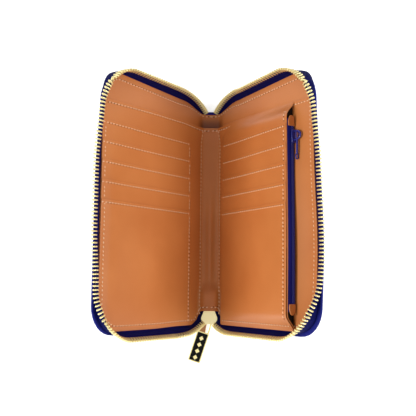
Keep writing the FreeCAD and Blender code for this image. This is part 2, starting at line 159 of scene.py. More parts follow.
def fixNormals(obj):
    bpy.context.view_layer.objects.active = obj
    for other in bpy.context.selected_objects:
        other.select_set(False)
    obj.select_set(True)
    bpy.ops.object.mode_set(mode="EDIT")
    bpy.ops.mesh.select_all(action="SELECT")
    bpy.ops.mesh.normals_make_consistent(inside=False)
    bpy.ops.object.mode_set(mode="OBJECT")


def spaced(low, high, step, ends=0.0):
    # even steps with closer ones near both ends
    count = max(2, int(round((high - low) / step)))
    out = []
    for k in range(count + 1):
        u = k / count
        out.append(low + (high - low) * (u - ends * math.sin(2 * pi * u) / (2 * pi)))
    return out


def sheetGrid(sheet):
    # rows along the spine, columns across; corners are rounded by pulling the outer column in
    t0, t1, y0, y1 = sheet["t0"], sheet["t1"], sheet["y0"], sheet["y1"]
    radius = sheet.get("corner", 1.0)
    rim = sheet["thick"] / 2
    lowRound = radius if sheet.get("lowRound", True) else 0.8
    highRound = radius if sheet.get("highRound", True) else 0.8
    rows = []
    for k in range(9):
        rows.append(y0 + rim + (lowRound - rim) * (1 - math.cos(pi / 2 * k / 8)))
    rows += spaced(y0 + lowRound, y1 - highRound, 2.2)[1:-1]
    for k in range(9):
        rows.append(y1 - rim - (highRound - rim) * (1 - math.cos(pi / 2 * (8 - k) / 8)))
    columns = spaced(0, 1, 1 / max(6, int((t1 - t0) / 2.4)), 0.35)
    grid = []
    for y in rows:
        reach = t1 - rim
        if y < y0 + lowRound:
            d = y0 + lowRound - y
            reach = t1 - lowRound + math.sqrt(max((lowRound - rim) ** 2 - d * d, 0))
        if y > y1 - highRound:
            d = y - (y1 - highRound)
            reach = t1 - highRound + math.sqrt(max((highRound - rim) ** 2 - d * d, 0))
        start = t0 if sheet.get("seam") else t0 + rim
        grid.append([(start + (reach - start) * u, y) for u in columns])
    return grid


def leatherSheet(name, side, sheet, material):
    # top and bottom skins with a rounded edge between them; a seam side is left open on the spine's middle
    grid = sheetGrid(sheet)
    rowCount, colCount = len(grid), len(grid[0])
    shift = sheet.get("shift", lambda t, y: 0.0)
    slide = sheet.get("slide", lambda t, y: 0.0)
    thick = sheet["thick"]
    verts = []

    def put(t, y, n):
        shiftedY = y + shift(t, y)
        t -= slide(t, y)
        point = place(side, t, shiftedY, sheet["level"](t, shiftedY) + n)
        point.z += sheet["rise"](t, shiftedY) * mm if "rise" in sheet else 0
        verts.append(point)
        return len(verts) - 1

    top = [[put(t, y, thick) for t, y in row] for row in grid]
    bottom = [[put(t, y, 0) for t, y in row] for row in grid]
    faces = []
    for r in range(rowCount - 1):
        for c in range(colCount - 1):
            faces.append((top[r][c], top[r][c + 1], top[r + 1][c + 1], top[r + 1][c]))
            faces.append((bottom[r][c], bottom[r + 1][c], bottom[r + 1][c + 1], bottom[r][c + 1]))
    ring = [(0, c) for c in range(colCount)]
    ring += [(r, colCount - 1) for r in range(1, rowCount)]
    ring += [(rowCount - 1, c) for c in range(colCount - 2, -1, -1)]
    closed = not sheet.get("seam")
    if closed:
        ring += [(r, 0) for r in range(rowCount - 2, 0, -1)]
    flat = [Vector((*grid[r][c], 0)) for r, c in ring]
    count = len(ring)
    rim = thick / 2
    bands = []
    for k, (r, c) in enumerate(ring):
        before = flat[(k - 1) % count] if closed or k > 0 else flat[k] + (flat[k] - flat[k + 1])
        after = flat[(k + 1) % count] if closed or k < count - 1 else flat[k] + (flat[k] - flat[k - 1])
        along = after - before
        out = Vector((along.y, -along.x, 0)).normalized() * rim
        band = [top[r][c]]
        for angle in (50, 18, -18, -50):
            f = math.radians(angle)
            spot = flat[k] + out * math.cos(f)
            band.append(put(spot.x, spot.y, rim + rim * math.sin(f)))
        band.append(bottom[r][c])
        bands.append(band)
    pairs = range(count) if closed else range(count - 1)
    for k in pairs:
        first, second = bands[k], bands[(k + 1) % count]
        for j in range(5):
            faces.append((first[j], first[j + 1], second[j + 1], second[j]))
    obj = meshPiece(name, verts, faces, material)
    fixNormals(obj)
    if sheet.get("seam"):
        # both halves share one normal where they meet, so the join doesn't show
        normals = [Vector(v.normal) for v in obj.data.vertices]
        for v in obj.data.vertices:
            if abs(v.co.x) < 1e-6:
                normals[v.index].x = 0
                normals[v.index].normalize()
        obj.data.normals_split_custom_set_from_vertices([tuple(v) for v in normals])
    return obj


# materials

def newGroup(name, inputs, outputs):
    group = bpy.data.node_groups.new(name, "ShaderNodeTree")
    for label, kind, value in inputs:
        socket = group.interface.new_socket(name=label, in_out="INPUT", socket_type=kind)
        if value is not None:
            socket.default_value = value
    for label, kind in outputs:
        group.interface.new_socket(name=label, in_out="OUTPUT", socket_type=kind)
    return group, group.nodes.new("NodeGroupInput"), group.nodes.new("NodeGroupOutput")


def addNode(group, kind, values=None, **settings):
    node = group.nodes.new("ShaderNode" + kind)
    for key, value in settings.items():
        setattr(node, key, value)
    for key, value in (values or {}).items():
        node.inputs[key].default_value = value
    return node


def wire(group, *pairs):
    for source, target in pairs:
        group.links.new(source, target)


def grainGroup():
    # hide pattern: pores and creases as a bump, and a slow change of tone
    group, enter, leave = newGroup(
        "Leather grain",
        [("Tone", "NodeSocketColor", (0.5, 0.2, 0.06, 1)), ("Deep", "NodeSocketColor", (0.3, 0.1, 0.03, 1)),
         ("Pores", "NodeSocketFloat", 900.0), ("Depth", "NodeSocketFloat", 0.2)],
        [("Colour", "NodeSocketColor"), ("Normal", "NodeSocketVector")],
    )
    where = addNode(group, "TexCoord")
    cells = addNode(group, "TexVoronoi", feature="DISTANCE_TO_EDGE")
    fine = addNode(group, "TexNoise", {"Scale": 420, "Detail": 6})
    slow = addNode(group, "TexNoise", {"Scale": 22, "Detail": 3})
    height = addNode(group, "Math", {1: 0.5}, operation="MULTIPLY_ADD")
    bump = addNode(group, "Bump", {"Distance": 0.00012})
    mix = addNode(group, "Mix", data_type="RGBA")
    spread = addNode(group, "MapRange", {"From Min": 0.35, "From Max": 0.7})
    for texture in (cells, fine, slow):
        wire(group, (where.outputs["Object"], texture.inputs["Vector"]))
    wire(group,
         (enter.outputs["Pores"], cells.inputs["Scale"]),
         (fine.outputs["Fac"], height.inputs[0]),
         (cells.outputs["Distance"], height.inputs[2]),
         (height.outputs[0], bump.inputs["Height"]),
         (enter.outputs["Depth"], bump.inputs["Strength"]),
         (slow.outputs["Fac"], spread.inputs["Value"]),
         (spread.outputs["Result"], mix.inputs["Factor"]),
         (enter.outputs["Tone"], mix.inputs["A"]),
         (enter.outputs["Deep"], mix.inputs["B"]),
         (mix.outputs["Result"], leave.inputs["Colour"]),
         (bump.outputs["Normal"], leave.inputs["Normal"]))
    return group


def weaveGroup():
    # herringbone of a zip tape, and the small scatter of its threads
    group, enter, leave = newGroup(
        "Tape weave",
        [("Thread", "NodeSocketColor", (0.02, 0.02, 0.2, 1)), ("Gap", "NodeSocketColor", (0.0, 0.0, 0.05, 1)),
         ("Count", "NodeSocketFloat", 900.0)],
        [("Colour", "NodeSocketColor"), ("Normal", "NodeSocketVector")],
    )
    where = addNode(group, "TexCoord")
    along = addNode(group, "TexWave", {"Distortion": 1.5}, bands_direction="DIAGONAL")
    across = addNode(group, "TexWave", bands_direction="Y")
    mixed = addNode(group, "Math", operation="MULTIPLY")
    bump = addNode(group, "Bump", {"Strength": 0.5, "Distance": 0.0002})
    mix = addNode(group, "Mix", data_type="RGBA")
    for texture in (along, across):
        wire(group, (where.outputs["Object"], texture.inputs["Vector"]),
             (enter.outputs["Count"], texture.inputs["Scale"]))
    wire(group,
         (along.outputs["Fac"], mixed.inputs[0]),
         (across.outputs["Fac"], mixed.inputs[1]),
         (mixed.outputs[0], mix.inputs["Factor"]),
         (mixed.outputs[0], bump.inputs["Height"]),
         (enter.outputs["Gap"], mix.inputs["A"]),
         (enter.outputs["Thread"], mix.inputs["B"]),
         (mix.outputs["Result"], leave.inputs["Colour"]),
         (bump.outputs["Normal"], leave.inputs["Normal"]))
    return group


def metalGroup():
    # fine scratches and the dulling of handled plating
    group, enter, leave = newGroup(
        "Plating",
        [("Tone", "NodeSocketColor", (0.8, 0.6, 0.25, 1)), ("Dull", "NodeSocketColor", (0.6, 0.45, 0.2, 1)),
         ("Low", "NodeSocketFloat", 0.15), ("High", "NodeSocketFloat", 0.35)],
        [("Colour", "NodeSocketColor"), ("Roughness", "NodeSocketFloat")],
    )
    where = addNode(group, "TexCoord")
    noise = addNode(group, "TexNoise", {"Scale": 260, "Detail": 4})
    level = addNode(group, "MapRange")
    mix = addNode(group, "Mix", data_type="RGBA")
    wire(group,
         (where.outputs["Object"], noise.inputs["Vector"]),
         (noise.outputs["Fac"], level.inputs["Value"]),
         (enter.outputs["Low"], level.inputs["To Min"]),
         (enter.outputs["High"], level.inputs["To Max"]),
         (noise.outputs["Fac"], mix.inputs["Factor"]),
         (enter.outputs["Tone"], mix.inputs["A"]),
         (enter.outputs["Dull"], mix.inputs["B"]),
         (mix.outputs["Result"], leave.inputs["Colour"]),
         (level.outputs["Result"], leave.inputs["Roughness"]))
    return group


def paintedMouthShadeGroup():
    # painted shade: darkens the lining's colour where the pocket's open mouth crosses the spine, standing in
    # for the shadow under the pocket's lip
    group, enter, leave = newGroup(
        "Pocket mouth shade", [("Colour", "NodeSocketColor", (1, 1, 1, 1))], [("Colour", "NodeSocketColor")])
    where = addNode(group, "SeparateXYZ")
    across = addNode(group, "Math", operation="ABSOLUTE")
    wire(group, (addNode(group, "TexCoord").outputs["Object"], where.inputs[0]),
         (where.outputs["X"], across.inputs[0]))
    fades = ((across.outputs[0], 0.0065, 0.0115, 1, 0), (where.outputs["Y"], 0.067, 0.069, 0, 1),
             (where.outputs["Y"], 0.0735, 0.0815, 1, 0))
    mask = None
    for value, low, high, first, last in fades:
        span = {"From Min": low, "From Max": high, "To Min": first, "To Max": last}
        fade = addNode(group, "MapRange", span, interpolation_type="SMOOTHSTEP")
        wire(group, (value, fade.inputs["Value"]))
        if mask:
            both = addNode(group, "Math", operation="MULTIPLY")
            wire(group, (mask, both.inputs[0]), (fade.outputs["Result"], both.inputs[1]))
            mask = both.outputs[0]
        else:
            mask = fade.outputs["Result"]
    mix = addNode(group, "Mix", data_type="RGBA")
    # colour of the painted shade
    mix.inputs["B"].default_value = (0.22, 0.06, 0.014, 1)
    wire(group, (mask, mix.inputs["Factor"]), (enter.outputs["Colour"], mix.inputs["A"]),
         (mix.outputs["Result"], leave.inputs["Colour"]))
    return group


groups = {"grain": grainGroup(), "weave": weaveGroup(), "metal": metalGroup(), "mouth": paintedMouthShadeGroup()}


def blankMaterial(name):
    material = bpy.data.materials.new(name)
    material.use_nodes = True
    material.node_tree.nodes.clear()
    nodes = material.node_tree.nodes
    shader = nodes.new("ShaderNodeBsdfPrincipled")
    out = nodes.new("ShaderNodeOutputMaterial")
    material.node_tree.links.new(shader.outputs["BSDF"], out.inputs["Surface"])
    return material, shader


def shaderOf(material):
    return material.node_tree.nodes["Principled BSDF"]


def useGroup(material, shader, key, values, wires):
    tree = material.node_tree
    node = tree.nodes.new("ShaderNodeGroup")
    node.node_tree = groups[key]
    for label, value in values.items():
        node.inputs[label].default_value = value
    for source, target in wires.items():
        tree.links.new(node.outputs[source], shader.inputs[target])
    return node


def leatherMaterial(name, tone, deep, pores, depth, roughness, coat):
    material, shader = blankMaterial(name)
    values = {"Tone": (*tone, 1), "Deep": (*deep, 1), "Pores": pores, "Depth": depth}
    useGroup(material, shader, "grain", values, {"Colour": "Base Color", "Normal": "Normal"})
    shader.inputs["Roughness"].default_value = roughness
    shader.inputs["Coat Weight"].default_value = coat
    shader.inputs["Coat Roughness"].default_value = 0.4
    return material


def tapeMaterial(name, threadTone, gapTone, count):
    material, shader = blankMaterial(name)
    values = {"Thread": (*threadTone, 1), "Gap": (*gapTone, 1), "Count": count}
    useGroup(material, shader, "weave", values, {"Colour": "Base Color", "Normal": "Normal"})
    shader.inputs["Roughness"].default_value = 0.75
    shader.inputs["Specular IOR Level"].default_value = 0.08
    return material


def metalMaterial(name, tone, dull, low, high, metallic):
    material, shader = blankMaterial(name)
    values = {"Tone": (*tone, 1), "Dull": (*dull, 1), "Low": low, "High": high}
    useGroup(material, shader, "metal", values, {"Colour": "Base Color", "Roughness": "Roughness"})
    shader.inputs["Metallic"].default_value = metallic
    return material


def plainMaterial(name, tone, roughness, coat=0.0):
    material, shader = blankMaterial(name)
    values = {"Tone": (*tone, 1), "Dull": (*[c * 0.8 for c in tone], 1)}
    useGroup(material, shader, "metal", values, {"Colour": "Base Color"})
    shader.inputs["Roughness"].default_value = roughness
    shader.inputs["Coat Weight"].default_value = coat
    return material


tan = leatherMaterial("Tan lining leather", (0.58, 0.193, 0.046), (0.52, 0.158, 0.033), 1500, 0.12, 0.46, 0.1)
navy = leatherMaterial("Navy cover leather", (0.012, 0.017, 0.22), (0.009, 0.013, 0.17), 900, 0.35, 0.6, 0.0)
shaderOf(navy).inputs["Specular IOR Level"].default_value = 0.12
# partly the tape's own navy, partly painted shade: darkened so the tape seen between the teeth and the lining
# reads as shaded
navyTapeWithPaintedShade = tapeMaterial("Navy zip tape", (0.005, 0.007, 0.135), (0.002, 0.003, 0.05), 500)
coinTape = tapeMaterial("Navy coin zip tape", (0.024, 0.028, 0.33), (0.01, 0.012, 0.14), 500)
cream = plainMaterial("Tan thread", (0.97, 0.63, 0.38), 0.65)
# painted shade: the walls at the pouch's ends are near black so the inside of the pouch's open side reads
# dark
gussetPaintedShade = plainMaterial("Pouch gusset, painted shade", (0.006, 0.003, 0.002), 0.95)
# painted shade: the dark discs laid between stitches for the needle holes
needleHolePaintedShade = plainMaterial("Needle hole, painted shade", (0.07, 0.018, 0.006), 0.95)
gold = metalMaterial("Pale gold plating", (0.98, 0.86, 0.44), (0.92, 0.77, 0.34), 0.24, 0.4, 0.55)
# painted light: a paler copy of the gold plating that also glows faintly, so the slider's top plate and crown
# look brightly lit
paintedLightSliderGold = metalMaterial("Slider gold plating, painted light", (1.0, 0.93, 0.58), (0.97, 0.87, 0.5), 0.3, 0.42, 0.2)
shaderOf(paintedLightSliderGold).inputs["Emission Color"].default_value = (1.0, 0.88, 0.46, 1)
shaderOf(paintedLightSliderGold).inputs["Emission Strength"].default_value = 0.3
# painted shade: a darker, redder copy of the gold plating for the pull's lug, standing in for the lug lying
# in shadow
paintedShadeGold = metalMaterial("Shaded gold plating", (0.62, 0.3, 0.13), (0.35, 0.16, 0.07), 0.3, 0.45, 0.9)
black = plainMaterial("Black enamel", (0.003, 0.0025, 0.0025), 0.45)
shaderOf(black).inputs["Specular IOR Level"].default_value = 0.1
nylon = plainMaterial("Navy nylon", (0.02, 0.022, 0.2), 0.4)
navyPaint = plainMaterial("Navy slider paint", (0.022, 0.025, 0.24), 0.3, 0.3)
greyboard = plainMaterial("Greyboard", (0.33, 0.3, 0.26), 0.9)

# a copy of the lining leather with the painted pocket mouth shade mixed into its colour
paintedShadeLiningTan = tan.copy()
paintedShadeLiningTan.name = "Tan lining leather, painted pocket mouth shade"
shader = shaderOf(paintedShadeLiningTan)
grainColour = shader.inputs["Base Color"].links[0].from_socket
shade = useGroup(paintedShadeLiningTan, shader, "mouth", {}, {"Colour": "Base Color"})
wire(paintedShadeLiningTan.node_tree, (grainColour, shade.inputs["Colour"]))
print("materials ready")


# covers: the lining, and the plain pocket that runs across both of them
lining = {"width": 111.5, "half": 89.0, "corner": 16.5, "thick": 0.6, "headDip": 6.8, "tailNotch": 10.7,
          "flare": {"left": 0.05, "right": 0.066}}
pocket = {"head": 72.6, "thick": 0.45, "dip": 2.1}


def spineBell(t, wide, run):
    # one across the spine, falling to nothing on the cover
    return smooth((wide + run - t) / run)


def shellShift(side):
    def shift(t, y):
        tail = 22.5 * spineBell(t, 0.5, 9.0) * smooth((-60 - y) / 32.5) ** 0.6
        head = -7.4 * spineBell(t, 0.0, 14.0) * smooth((y - 55) / 37)
        corner = -2.6 * smooth((t - 30) / 70) * smooth((y - 60) / 30) if side == "left" else 0.0
        return tail + head + 0.45 * flare(side, t, y) + corner
    return shift


def shellSlide(side):
    # the outer leather is pulled in behind the zip along the upper half of its long edge
    most = 3.2 if side == "left" else 3.0
    return lambda t, y: most * smooth((t - 60) / 50) * smooth((y - 10) / 70)


def flare(side, t, y):
    # the lining's ends run a little apart towards the open side
    head = lining["flare"][side] * max(0.0, t - 25) * smooth((y - 76) / 13)
    tail = -1.1 * smooth((t - 20) / 40) * smooth((-76 - y) / 13) if side == "left" else 0.0
    return head + tail


def tailNotch(t, y):
    return lining["tailNotch"] * spineBell(t, -0.9, 10.4) * smooth((-70 - y) / 19)


def liningShift(side):
    def shift(t, y):
        head = -lining["headDip"] * spineBell(t, -6.0, 30.0) * smooth((y - 60) / 29)
        return tailNotch(t, y) + head + flare(side, t, y)
    return shift


def pocketShift(side):
    def shift(t, y):
        outer = 1.3 * smooth((t - 50) / 60) if side == "left" else 0.0
        head = (pocket["dip"] * spineBell(t, 4.0, 20.0) + outer) * smooth((y - 45) / 27)
        return tailNotch(t, y) - head + min(0.0, flare(side, t, y))
    return shift


def gape(t, y):
    # the plain pocket's mouth stands open where it crosses the spine
    return 1.9 * spineBell(t, 3.0, 16.0) * smooth((y - 56) / 16)


def thin(t):
    # layers are pared down where they are sewn together along the outer edge
    return 1 - 0.55 * smooth((t - 102) / 9)


def coverPieces(side):
    # three sheets on each side, all seamed down the middle of the spine
    shell = {"t1": wallet["coverWidth"], "y0": -wallet["coverHalf"], "y1": wallet["coverHalf"],
             "corner": wallet["coverCorner"], "thick": 1.9, "level": lambda t, y: wallet["shellLevel"],
             "shift": shellShift(side), "slide": shellSlide(side)}
    inner = {"t1": lining["width"], "y0": -lining["half"], "y1": lining["half"], "corner": lining["corner"],
             "thick": lining["thick"], "rise": spineRise, "shift": liningShift(side),
             "level": lambda t, y: ripple(side, t, y) - lining["thick"]}
    wall = {"t1": lining["width"], "y0": -lining["half"], "y1": pocket["head"], "highRound": False,
            "corner": lining["corner"], "thick": pocket["thick"], "rise": spineRise,
            "shift": pocketShift(side),
            "level": lambda t, y: ripple(side, t, y) + lipLift(y, pocket["head"]) + gape(t, y)}
    made = []
    # the lining takes the leather with the painted pocket mouth shade
    for name, sheet, material, slotName, nodes in (
            ("CoverLeather", shell, navy, "navy_leather", ["cover_shell", "cover_board"]),
            ("Lining", inner, paintedShadeLiningTan, "tan_leather", ["cover_lining"]),
            ("BillPocket", wall, tan, "tan_leather", ["pocket_wall"])):
        sheet.update({"t0": -wallet["spineHalf"], "seam": True})
        obj = leatherSheet(side + name, side, sheet, material)
        rideFold(obj, side, wallet["bend"])
        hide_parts(*[f"{side}_{n}" for n in nodes])
        made.append(obj)
    return made


def lipLift(y, edge):
    # a free top edge stands a little off the layer below
    return 0.42 * smooth((y - edge + 6) / 6)


pieces = {side: coverPieces(side) for side in ("left", "right")}
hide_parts("spine_shell", "spine_board")
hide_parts("spine_lining")
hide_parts("spine_pocket_wall")
print("covers, lining and pocket ready")


# card slots
slots = {"first": 56.3, "pitch": 14.0, "count": 5, "depth": 46.0, "thick": 0.26, "left": 15.5, "stitch": 2.2}
pouch = {"fold": 6.0, "edge": 92.7, "depth": 8.4, "tailSlope": 11.4, "headSlope": 11.0, "thick": 0.5}


def slotTop(index):
    return slots["first"] - slots["pitch"] * index


def leftSlotLevel(index):
    top = slotTop(index)
    under = pocket["thick"] + slots["thick"] * index
    return lambda t, y: ripple("left", t, y) + under * thin(t) + lipLift(y, top)


def pouchTop(t, y):
    # the pouch front's outer face: flat on the cover at its fold, high at its zip, sloping down at both ends
    rise = (pouch["depth"] - 1.2) * (t - pouch["fold"]) / (pouch["edge"] - pouch["fold"])
    tail = smooth((y + lining["half"]) / pouch["tailSlope"])
    head = smooth((pocket["head"] - y) / pouch["headSlope"])
    belly = 0.5 * math.sin(pi * max(0.0, min(1.0, (y + 89) / 161.6))) * smooth((t - 50) / 40)
    settle = ripple("right", t, y) * smooth((pouch["edge"] - t) / 40)
    return 1.0 + max(0.0, rise) * tail * head - belly * tail * head + settle


def rightSlotLevel(index):
    top = slotTop(index)
    return lambda t, y: pouchTop(t, y) + slots["thick"] * index + lipLift(y, top)


for k in range(slots["count"]):
    top = slotTop(k)
    last = k == slots["count"] - 1
    low = -lining["half"] if last else top - slots["depth"]
    card = leatherSheet(
        f"leftCardSlot{k + 1}", "left",
        {"t0": slots["left"], "t1": lining["width"], "y0": low, "y1": top, "corner": lining["corner"],
         "lowRound": last, "highRound": False, "thick": slots["thick"], "level": leftSlotLevel(k)}, tan)
    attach(card, "left_cover")
    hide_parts(f"left_card_slot_{k + 1}")
    tailEnd = -lining["half"] + pouch["tailSlope"]
    low = -lining["half"] + 0.2 if last else max(tailEnd, top - slots["depth"])
    card = leatherSheet(
        f"rightCardSlot{k + 1}", "right",
        {"t0": pouch["fold"] + 0.2, "t1": pouch["edge"] - 0.4, "y0": low, "y1": top, "lowRound": False,
         "highRound": False, "thick": slots["thick"], "level": rightSlotLevel(k)}, tan)
    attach(card, "right_cover")
    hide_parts(f"right_card_slot_{k + 1}")
print("card slots ready")

# coin pouch
coinZip = {"middle": 2.7, "tail": -77.6, "head": 61.6, "tab": 7.0, "face": 93.2, "sliderHead": 52.1}
front = leatherSheet(
    "coinPouchFront", "right",
    {"t0": pouch["fold"], "t1": pouch["edge"], "y0": -lining["half"], "y1": pocket["head"], "lowRound": False,
     "highRound": False, "thick": pouch["thick"], "level": lambda t, y: pouchTop(t, y) - pouch["thick"]}, tan)
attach(front, "right_cover")
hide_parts("coin_pouch_front")


def bevelled(obj, width, segments=3):
    modifier = obj.modifiers.new("Bevel", "BEVEL")
    modifier.width = width * mm
    modifier.segments = segments
    modifier.limit_method = "ANGLE"
    modifier.angle_limit = math.radians(35)
    modifier.harden_normals = False
    for p in obj.data.polygons:
        p.use_smooth = True
    obj.data.set_sharp_from_angle(angle=math.radians(40))


def prism(name, outline, depth, toWorld, material):
    # an outline pushed through a depth; toWorld puts each drawn point where it goes
    count = len(outline)
    verts = [toWorld(*p, depth[0]) for p in outline] + [toWorld(*p, depth[1]) for p in outline]
    faces = [tuple(range(count))[::-1], tuple(range(count, 2 * count))]
    faces += [(k, (k + 1) % count, (k + 1) % count + count, k + count) for k in range(count)]
    obj = meshPiece(name, verts, faces, material, False)
    fixNormals(obj)
    return obj


def rightLeaf(x, y, z):
    return onCover("right", x, y, z)


def leafSection(y, z, x):
    # the same place, for an outline drawn along the zip and pushed outward
    return onCover("right", x, y, z)


def coinWall(name, section, y0, y1, material, slotName, node=None):
    # a wall of the pouch's open side: rows along the zip, each a thin closed section of (t, n) points
    rows = spaced(y0, y1, 1.6)
    verts = [rightLeaf(t, y, n) for y in rows for t, n in section(y)]
    obj = meshPiece(name, verts, ringFaces(len(rows), len(section(y0))), material)
    fixNormals(obj)
    obj.data.set_sharp_from_angle(angle=math.radians(50))
    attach(obj, "right_cover")
    if node:
        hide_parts(node)
    return obj


def frontTapeSection(y):
    high = max(coinZip["middle"] + 1.2, pouchTop(pouch["edge"] - 0.4, y) - pouch["thick"] - 0.05)
    edge = pouch["edge"]
    low = coinZip["middle"] + 0.9
    bulge = (high + low) / 2
    return [(edge + 0.1, low), (edge + 0.35, bulge), (edge - 0.1, high),
            (edge - 0.6, high), (edge - 0.2, bulge), (edge - 0.4, low)]


def backTapeSection(y):
    # the back tape turns in under the zip, down to its seam on the cover
    edge, top = pouch["edge"], coinZip["middle"] - 0.9
    return [(edge + 0.1, top), (edge - 0.7, top - 1.0), (edge - 2.6, 0.6),
            (edge - 3.1, 0.6), (edge - 1.2, top - 0.8), (edge - 0.4, top)]


def gussetSection(y):
    top = pouchTop(pouch["edge"] - 2.4, y) - pouch["thick"] - 0.1
    edge = pouch["edge"]
    return [(edge - 2.1, 0.5), (edge - 1.2, max(0.8, top)), (edge - 1.6, max(0.8, top)), (edge - 2.5, 0.5)]


zipEnds = (coinZip["tail"] + 2, coinZip["head"] - 2)
coinWall("coinTapeFront", frontTapeSection, *zipEnds, coinTape, "navy_tape", "coin_zip_tape_front")
coinWall("coinTapeBack", backTapeSection, *zipEnds, navyTapeWithPaintedShade, "navy_tape", "coin_zip_tape_back")
# the end walls take the near-black painted shade
coinWall("coinGussetHead", gussetSection, coinZip["head"] - 5, pocket["head"] - 1.0, gussetPaintedShade, "navy_tape")
coinWall("coinGussetTail", gussetSection, 1.0 - lining["half"], coinZip["tail"] + 5, gussetPaintedShade, "navy_tape")


def tubeMesh(path, radii, toWorld, sides=8, closed=False):
    # a tube along a path of drawn points, with a radius at each
    verts = []
    points = [toWorld(*p) for p in path]
    count = len(points)
    normal = None
    for k, p in enumerate(points):
        before = points[(k - 1) % count] if closed or k else points[k]
        after = points[(k + 1) % count] if closed or k < count - 1 else points[k]
        along = (after - before).normalized()
        if normal is None:
            normal = along.orthogonal().normalized()
        normal = (normal - along * normal.dot(along)).normalized()
        side = along.cross(normal)
        for j in range(sides):
            f = 2 * pi * j / sides
            verts.append(p + (normal * math.cos(f) + side * math.sin(f)) * radii[k] * mm)
    return verts, ringFaces(count, sides, closed)


def joinMeshes(parts):
    verts, faces = [], []
    for v, f in parts:
        base = len(verts)
        verts += v
        faces += [tuple(i + base for i in face) for face in f]
    return verts, faces


def coilRow(name, sign, node):
    parts = []
    y = coinZip["tail"] + 3 + (0.5 if sign > 0 else 0)
    while y < coinZip["head"] - 3:
        m = coinZip["middle"]
        face = coinZip["face"]
        path = [(face - 0.8, y - 0.1, m + sign * 1.3), (face + 0.1, y, m + sign * 0.95),
                (face + 0.35, y, m + sign * 0.2), (face - 0.3, y + 0.05, m - sign * 0.35)]
        parts.append(tubeMesh(path, [0.3, 0.38, 0.38, 0.26], rightLeaf, 6))
        y += 1.0
    verts, faces = joinMeshes(parts)
    obj = meshPiece(name, verts, faces, nylon)
    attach(obj, "right_cover")
    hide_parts(node)


coilRow("coinCoilFront", 1, "coin_zip_coil_front")
coilRow("coinCoilBack", -1, "coin_zip_coil_back")


def coinTab(name, y0, y1, node):
    # a scrap of lining folded over the end of the coin zip, tapering towards the pouch's corner
    m = coinZip["middle"] + 1.2
    far = y1 if y0 > 0 else y0
    near = y0 if y0 > 0 else y1
    step = 1.0 if far > near else -1.0
    outline = [(near, m - 2.5), (near, m + 3.4), (near + step * 3.5, m + 3.5), (far - step * 0.8, m + 2.2),
               (far, m + 0.9), (far - step * 0.3, m - 0.7), (far - step * 1.6, m - 1.9)]
    face = coinZip["face"]
    obj = prism(name, outline, (face - 0.1, face + 0.9), leafSection, tan)
    bevelled(obj, 0.5, 4)
    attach(obj, "right_cover")
    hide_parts(node)


coinTab("coinTabHead", coinZip["head"] - coinZip["tab"] - 0.4, coinZip["head"] + 0.4, "coin_zip_tab_head")
coinTab("coinTabTail", coinZip["tail"] - 0.4, coinZip["tail"] + coinZip["tab"] + 0.4, "coin_zip_tab_tail")

# coin slider and its pull
y1 = coinZip["sliderHead"]
m = coinZip["middle"]
face = coinZip["face"]
halfOutline = [(y1 - 10, 1.7), (y1 - 5.5, 2.3), (y1 - 2.5, 2.4), (y1 - 0.6, 1.6), (y1, 0.5)]
plateOutline = [(y, m - z) for y, z in halfOutline] + [(y, m + z) for y, z in reversed(halfOutline)]
sliderPlate = prism("coinSliderPlate", plateOutline, (face + 0.75, face + 1.6), leafSection, navyPaint)
bevelled(sliderPlate, 0.3, 3)
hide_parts("coin_slider_body")
backPlate = prism("coinSliderBack", plateOutline, (face - 2.5, face - 1.9), leafSection, navyPaint)
coinArchSize = {"foot": 1.3, "reach": 6.2, "half": 3.2, "wire": 0.68}
archPath = []
for k in range(15):
    f = pi * k / 14
    reach = face + coinArchSize["foot"] + coinArchSize["reach"] * math.sin(f) ** 0.75
    archPath.append((reach, y1 - 4.8 + coinArchSize["half"] * math.cos(f), m - 0.4 * math.sin(f)))
verts, faces = tubeMesh(archPath, [coinArchSize["wire"]] * 15, rightLeaf, 10)
coinArch = meshPiece("coinSliderArch", verts, faces, navyPaint)
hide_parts("coin_slider_crown")
for obj in (sliderPlate, backPlate, coinArch):
    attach(obj, "coin_slider")


def loopPath(y0, y1, half, steps=10):
    # a closed rounded loop, drawn as y and z round the middle of the zip
    out = []
    for k in range(steps + 1):
        f = pi * k / steps
        out.append((y1 - half + half * math.sin(f), m + half * math.cos(f)))
    for k in range(steps + 1):
        f = pi + pi * k / steps
        out.append((y0 + half + half * math.sin(f), m + half * math.cos(f)))
    return out


coinPullSize = {"out": 97.7, "eye": (44.6, 49.9), "blade": (45.2, 1.2), "tip": (30.2, 33.8)}
pullX = coinPullSize["out"]
loop = [(pullX, y, z) for y, z in loopPath(*coinPullSize["eye"], 0.9)]
bladeTop, bladeStep = coinPullSize["blade"]
blade = [(pullX - 0.03 * k, bladeTop - k * bladeStep, m) for k in range(11)]
tip = [(pullX - 0.35, y, z) for y, z in loopPath(*coinPullSize["tip"], 1.0)]
verts, faces = joinMeshes([
    tubeMesh(loop, [0.5] * len(loop), rightLeaf, 8, True),
    tubeMesh(blade, [0.8] * len(blade), rightLeaf, 8),
    tubeMesh(tip, [0.5] * len(tip), rightLeaf, 8, True),
])
coinPull = meshPiece("coinPull", verts, faces, navyPaint)
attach(coinPull, "coin_puller")
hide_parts("coin_pull_tab")
print("coin pouch ready")


# main zip
chain = {
    "pitch": 2.6,
    "reach": 9.2,
    "tailCorner": {"left": 34.0, "right": 39.0},
    "headCorner": {"left": 31.0, "right": 34.0},
    "tailEnd": {"left": -96.2, "right": -94.6},
    "headEnd": {"left": 94.6, "right": 96.0},
    "headSlope": {"left": 0.018, "right": 0.066},
    "head": 2.1,
    "leg": 2.1,
    "height": 2.1,
    "width": 1.15,
}


def sideLean(side, y):
    # how far the chain leans out beyond the lining's long edge
    if side == "left":
        return 8.1 - 2.4 * smooth((y - 25) / 50) - 1.4 * smooth((-20 - y) / 45)
    return 8.0 - 2.3 * smooth((y - 25) / 50) - 1.0 * smooth((-35 - y) / 35)


def headLine(side, t):
    return chain["headEnd"][side] + chain["headSlope"][side] * min(0.0, t - 84)


